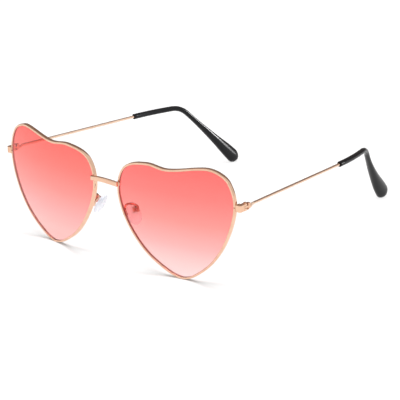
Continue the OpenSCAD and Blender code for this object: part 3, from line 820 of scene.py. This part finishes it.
def arm_line():
    foot = ARM_DIA - PAD_DOWN
    peel = rim_back(foot + ARM_DIA * 3) + Vector((0, ARM_DIA * 1.5, 0))
    cup = cup_back(CUP_TOP)
    points = [
        rim_back(foot - ARM_DIA), rim_back(foot + ARM_DIA * 1.2), peel,
        mix(peel, cup, 0.5) + Vector((0, 0, ARM_DIA * 1.1)),
        cup + Vector((ARM_DIA * 0.2, 0, ARM_DIA * 0.7)), cup_back(CUP_FOOT),
    ]
    return curve_through(points, line_ways(points), ARM_STEPS) + points[-1:]


def pad_arm(side_name):
    line = arm_line()
    rings = []
    for at, way in zip(line, line_ways(line)):
        across = way.cross(Vector((1, 0.2, 0))).normalized()
        ring = round_section(at, across, way.cross(across), ARM_DIA / 2, ARM_DIA / 2, ARM_SIDES)
        rings.append([placed(p, SIDES[side_name]) for p in ring])
    name, nodes = "pad_arm_wire_" + side_name, ["pad_arm_" + side_name]
    piece = made(loft(rings), name, "front", ARM_GOLD_PAINTED_SHADE, nodes)
    ease_edges(piece, width=0.15, sharp_angle=60)


def solder_bead(name, at, side_name, half_sizes):
    """A small smooth swelling of solder that fills a joint's corner"""
    bm = bmesh.new()
    bmesh.ops.create_uvsphere(bm, u_segments=24, v_segments=14, radius=1)
    bmesh.ops.scale(bm, vec=[h * MM for h in half_sizes], verts=bm.verts)
    bmesh.ops.translate(bm, vec=placed(at, SIDES[side_name]), verts=bm.verts)
    made(bm, name + "_" + side_name, "front", SOLDER_GOLD)


def solder(side_name):
    joint = bridge_end + Vector((BRIDGE_LAP * 0.2, 0, LENS_Z))
    solder_bead("solder_bridge", joint, side_name, (0.5, 0.32, BRIDGE_H * 0.42))
    foot = mix(rim_back(ARM_DIA * 2.2 - PAD_DOWN), rim_back(-PAD_DOWN), 0.5)
    foot -= Vector((0, ARM_DIA * 0.45, 0))
    solder_bead("solder_arm_foot", foot, side_name, (0.52, 0.34, 1.15))
    cup = mix(cup_back(CUP_TOP), cup_back(CUP_FOOT), 0.5)
    solder_bead("solder_cup", mix(cup, pad_place(PAD_AXIS), 0.24), side_name, (0.34, 0.5, 0.7))


# Small stamped and turned parts keep their solids' shape, with eased edges
EASED = [
    ("end_piece", "end_plate", "front", "hinge_gold", HINGE_GOLD, 0.16),
    ("lock_upper", "rim_lock_upper", "front", "hinge_gold", HINGE_GOLD, 0.12),
    ("lock_lower", "rim_lock_lower", "front", "hinge_gold", HINGE_GOLD, 0.12),
    ("lock_screw", "rim_lock_screw", "front", "screw_metal", SCREW_GOLD, 0.08),
    ("hinge_leaf", "front_leaf", "front", "hinge_gold", HINGE_GOLD, 0.12),
    ("hinge_screw", "hinge_pin_screw", "front", "screw_metal", SCREW_GOLD, 0.08),
    ("pad_box", "pad_cup", "front", "hinge_gold", ARM_GOLD_PAINTED_SHADE, 0.1),
    ("pad_screw", "pad_cup_screw", "front", "screw_metal", SCREW_GOLD, 0.06),
    ("temple_leaf", "side_leaf", "temple", "hinge_gold", HINGE_GOLD, 0.12),
    ("pad_insert", "pad_lug", "pad", "pad_core", PAD_CORE, 0.08),
]

for side_name in SIDES:
    rim(side_name)
    lens(side_name)
    temple_wire(side_name)
    ear_tip(side_name)
    nose_pad(side_name)
    pad_arm(side_name)
    solder(side_name)
    for node, name, part, slot, material, width in EASED:
        body = part if part == "front" else side_name + "_" + part
        eased_copy(node + "_" + side_name, name + "_" + side_name, body, material, width)
bridge()


# Floor, light and camera
FLOOR_REACH = 6
# The floor glows more with distance, in metres, so the far floor is as white as the near floor
GLOW_DISTANCES = (0.5, 1.6)
GLOW_STRENGTHS = (0.1, 0.7)


def white_floor():
    bm = bmesh.new()
    bmesh.ops.create_grid(bm, x_segments=1, y_segments=1, size=FLOOR_REACH)
    mesh = bpy.data.meshes.new("floor")
    bm.to_mesh(mesh)
    bm.free()
    piece = bpy.data.objects.new("floor", mesh)
    bpy.context.scene.collection.objects.link(piece)
    material, tree, shader = new_material("floor_white")
    shader.inputs["Base Color"].default_value = (0.5, 0.5, 0.5, 1)
    shader.inputs["Roughness"].default_value = 0.9
    shader.inputs["Specular IOR Level"].default_value = 0
    shader.inputs["Emission Color"].default_value = (1, 1, 1, 1)
    distance = add(tree, "ShaderNodeVectorMath", operation="LENGTH")
    tree.links.new(add(tree, "ShaderNodeTexCoord").outputs["Object"], distance.inputs[0])
    glow = ranged(tree, distance.outputs["Value"], GLOW_DISTANCES, GLOW_STRENGTHS)
    tree.links.new(glow, shader.inputs["Emission Strength"])
    piece.data.materials.append(material)


# The camera's place and aim, in the same millimetres as the left side
CAMERA_AT = Vector((553.9, -568.7, 309.3))
CAMERA_AIM = Vector((2.54, 56.80, 12.98))
CAMERA_ROLL = -1.869
FOCAL_SHARE = 1931.3 / 400
SENSOR = 36


def camera():
    data = bpy.data.cameras.new("camera")
    data.sensor_width = SENSOR
    data.lens = SENSOR * FOCAL_SHARE
    data.clip_start = 0.01
    data.clip_end = 50
    at, aim = placed(CAMERA_AT, 1), placed(CAMERA_AIM, 1)
    view = (aim - at).to_track_quat("-Z", "Y").to_matrix().to_4x4()
    roll = Matrix.Rotation(radians(CAMERA_ROLL), 4, "Z")
    holder = bpy.data.objects.new("camera", data)
    holder.matrix_world = Matrix.Translation(at) @ view @ roll
    bpy.context.scene.collection.objects.link(holder)
    bpy.context.scene.camera = holder


def linked_pieces(name, start):
    """The pieces whose names start so, in a collection that a light uses"""
    chosen = bpy.data.collections.new(name)
    for piece in bpy.data.objects:
        if piece.name.startswith(start):
            chosen.objects.link(piece)
    return chosen


def softbox(name, at, size, power, mirrored=True, blockers=None, lit=None):
    """A square light that faces the middle of the floor, in metres and watts

    Names that start with blockers are all that shadows it, and with lit all that it lights.
    """
    data = bpy.data.lights.new(name, "AREA")
    data.shape = "RECTANGLE"
    data.size = data.size_y = size
    data.energy = power
    holder = bpy.data.objects.new(name, data)
    holder.location = at
    holder.rotation_euler = (-Vector(at)).to_track_quat("-Z", "Y").to_euler()
    holder.visible_glossy = mirrored
    bpy.context.scene.collection.objects.link(holder)
    if blockers:
        holder.light_linking.blocker_collection = linked_pieces(name + "_blockers", blockers)
    if lit:
        holder.light_linking.receiver_collection = linked_pieces(name + "_lit", lit)


TENT_STRENGTH = 0.85
TENT_WHITE = (1, 1, 1, 1)
TENT_DARK = (0.34, 0.29, 0.27, 1)
BACKDROP_WHITE = (1.2, 1.2, 1.2, 1)
# The dark stretch comes in between these cosines of the turn from straight behind the
# object, and goes out again where the way looks up as steeply as the last two heights
DARK_BEHIND = (0.28, 0.42)
DARK_HEIGHTS = [(0, (1, 1, 1)), (0.80, (1, 1, 1)), (0.90, (0, 0, 0))]


def studio():
    """A white tent with a dark stretch behind the object, as a studio's flag gives"""
    world = bpy.data.worlds.new("studio")
    world.use_nodes = True
    bpy.context.scene.world = world
    tree = world.node_tree
    link = tree.links.new
    tree.nodes.clear()
    way = add(tree, "ShaderNodeTexCoord").outputs["Generated"]
    heading = (CAMERA_AIM - CAMERA_AT) * Vector((1, 1, 0))
    away = add(tree, "ShaderNodeVectorMath", operation="DOT_PRODUCT")
    away.inputs[1].default_value = heading.normalized()
    link(way, away.inputs[0])
    split = add(tree, "ShaderNodeSeparateXYZ")
    link(way, split.inputs["Vector"])
    dark = add(tree, "ShaderNodeMath", operation="MULTIPLY")
    link(ranged(tree, away.outputs["Value"], DARK_BEHIND, way="SMOOTHSTEP"), dark.inputs[0])
    link(ramp(tree, split.outputs["Z"], DARK_HEIGHTS), dark.inputs[1])
    tent = add(tree, "ShaderNodeMix", data_type="RGBA")
    tent.inputs[6].default_value = TENT_WHITE
    tent.inputs[7].default_value = TENT_DARK
    link(dark.outputs["Value"], tent.inputs["Factor"])
    # The camera itself sees a plain white backdrop
    seen = add(tree, "ShaderNodeMix", data_type="RGBA")
    seen.inputs[7].default_value = BACKDROP_WHITE
    link(tent.outputs[2], seen.inputs[6])
    link(add(tree, "ShaderNodeLightPath").outputs["Is Camera Ray"], seen.inputs["Factor"])
    light = add(tree, "ShaderNodeBackground", Strength=TENT_STRENGTH)
    link(seen.outputs[2], light.inputs["Color"])
    link(light.outputs["Background"], add(tree, "ShaderNodeOutputWorld").inputs["Surface"])


white_floor()
camera()
studio()
# Only the rims shadow the overhead light, and the side lights reach the ear tips alone
softbox("overhead_softbox", (0, -0.066, 1.2), 1, 25, mirrored=False, blockers="eyewire_")
softbox("side_softbox", (0.555, 0.805, 0.28), 0.25, 10, lit="ear_sleeve_right")
softbox("low_side_softbox", (0.64, 0.755, 0.14), 0.34, 4, lit="ear_sleeve_")
bpy.context.scene.view_settings.view_transform = "Standard"
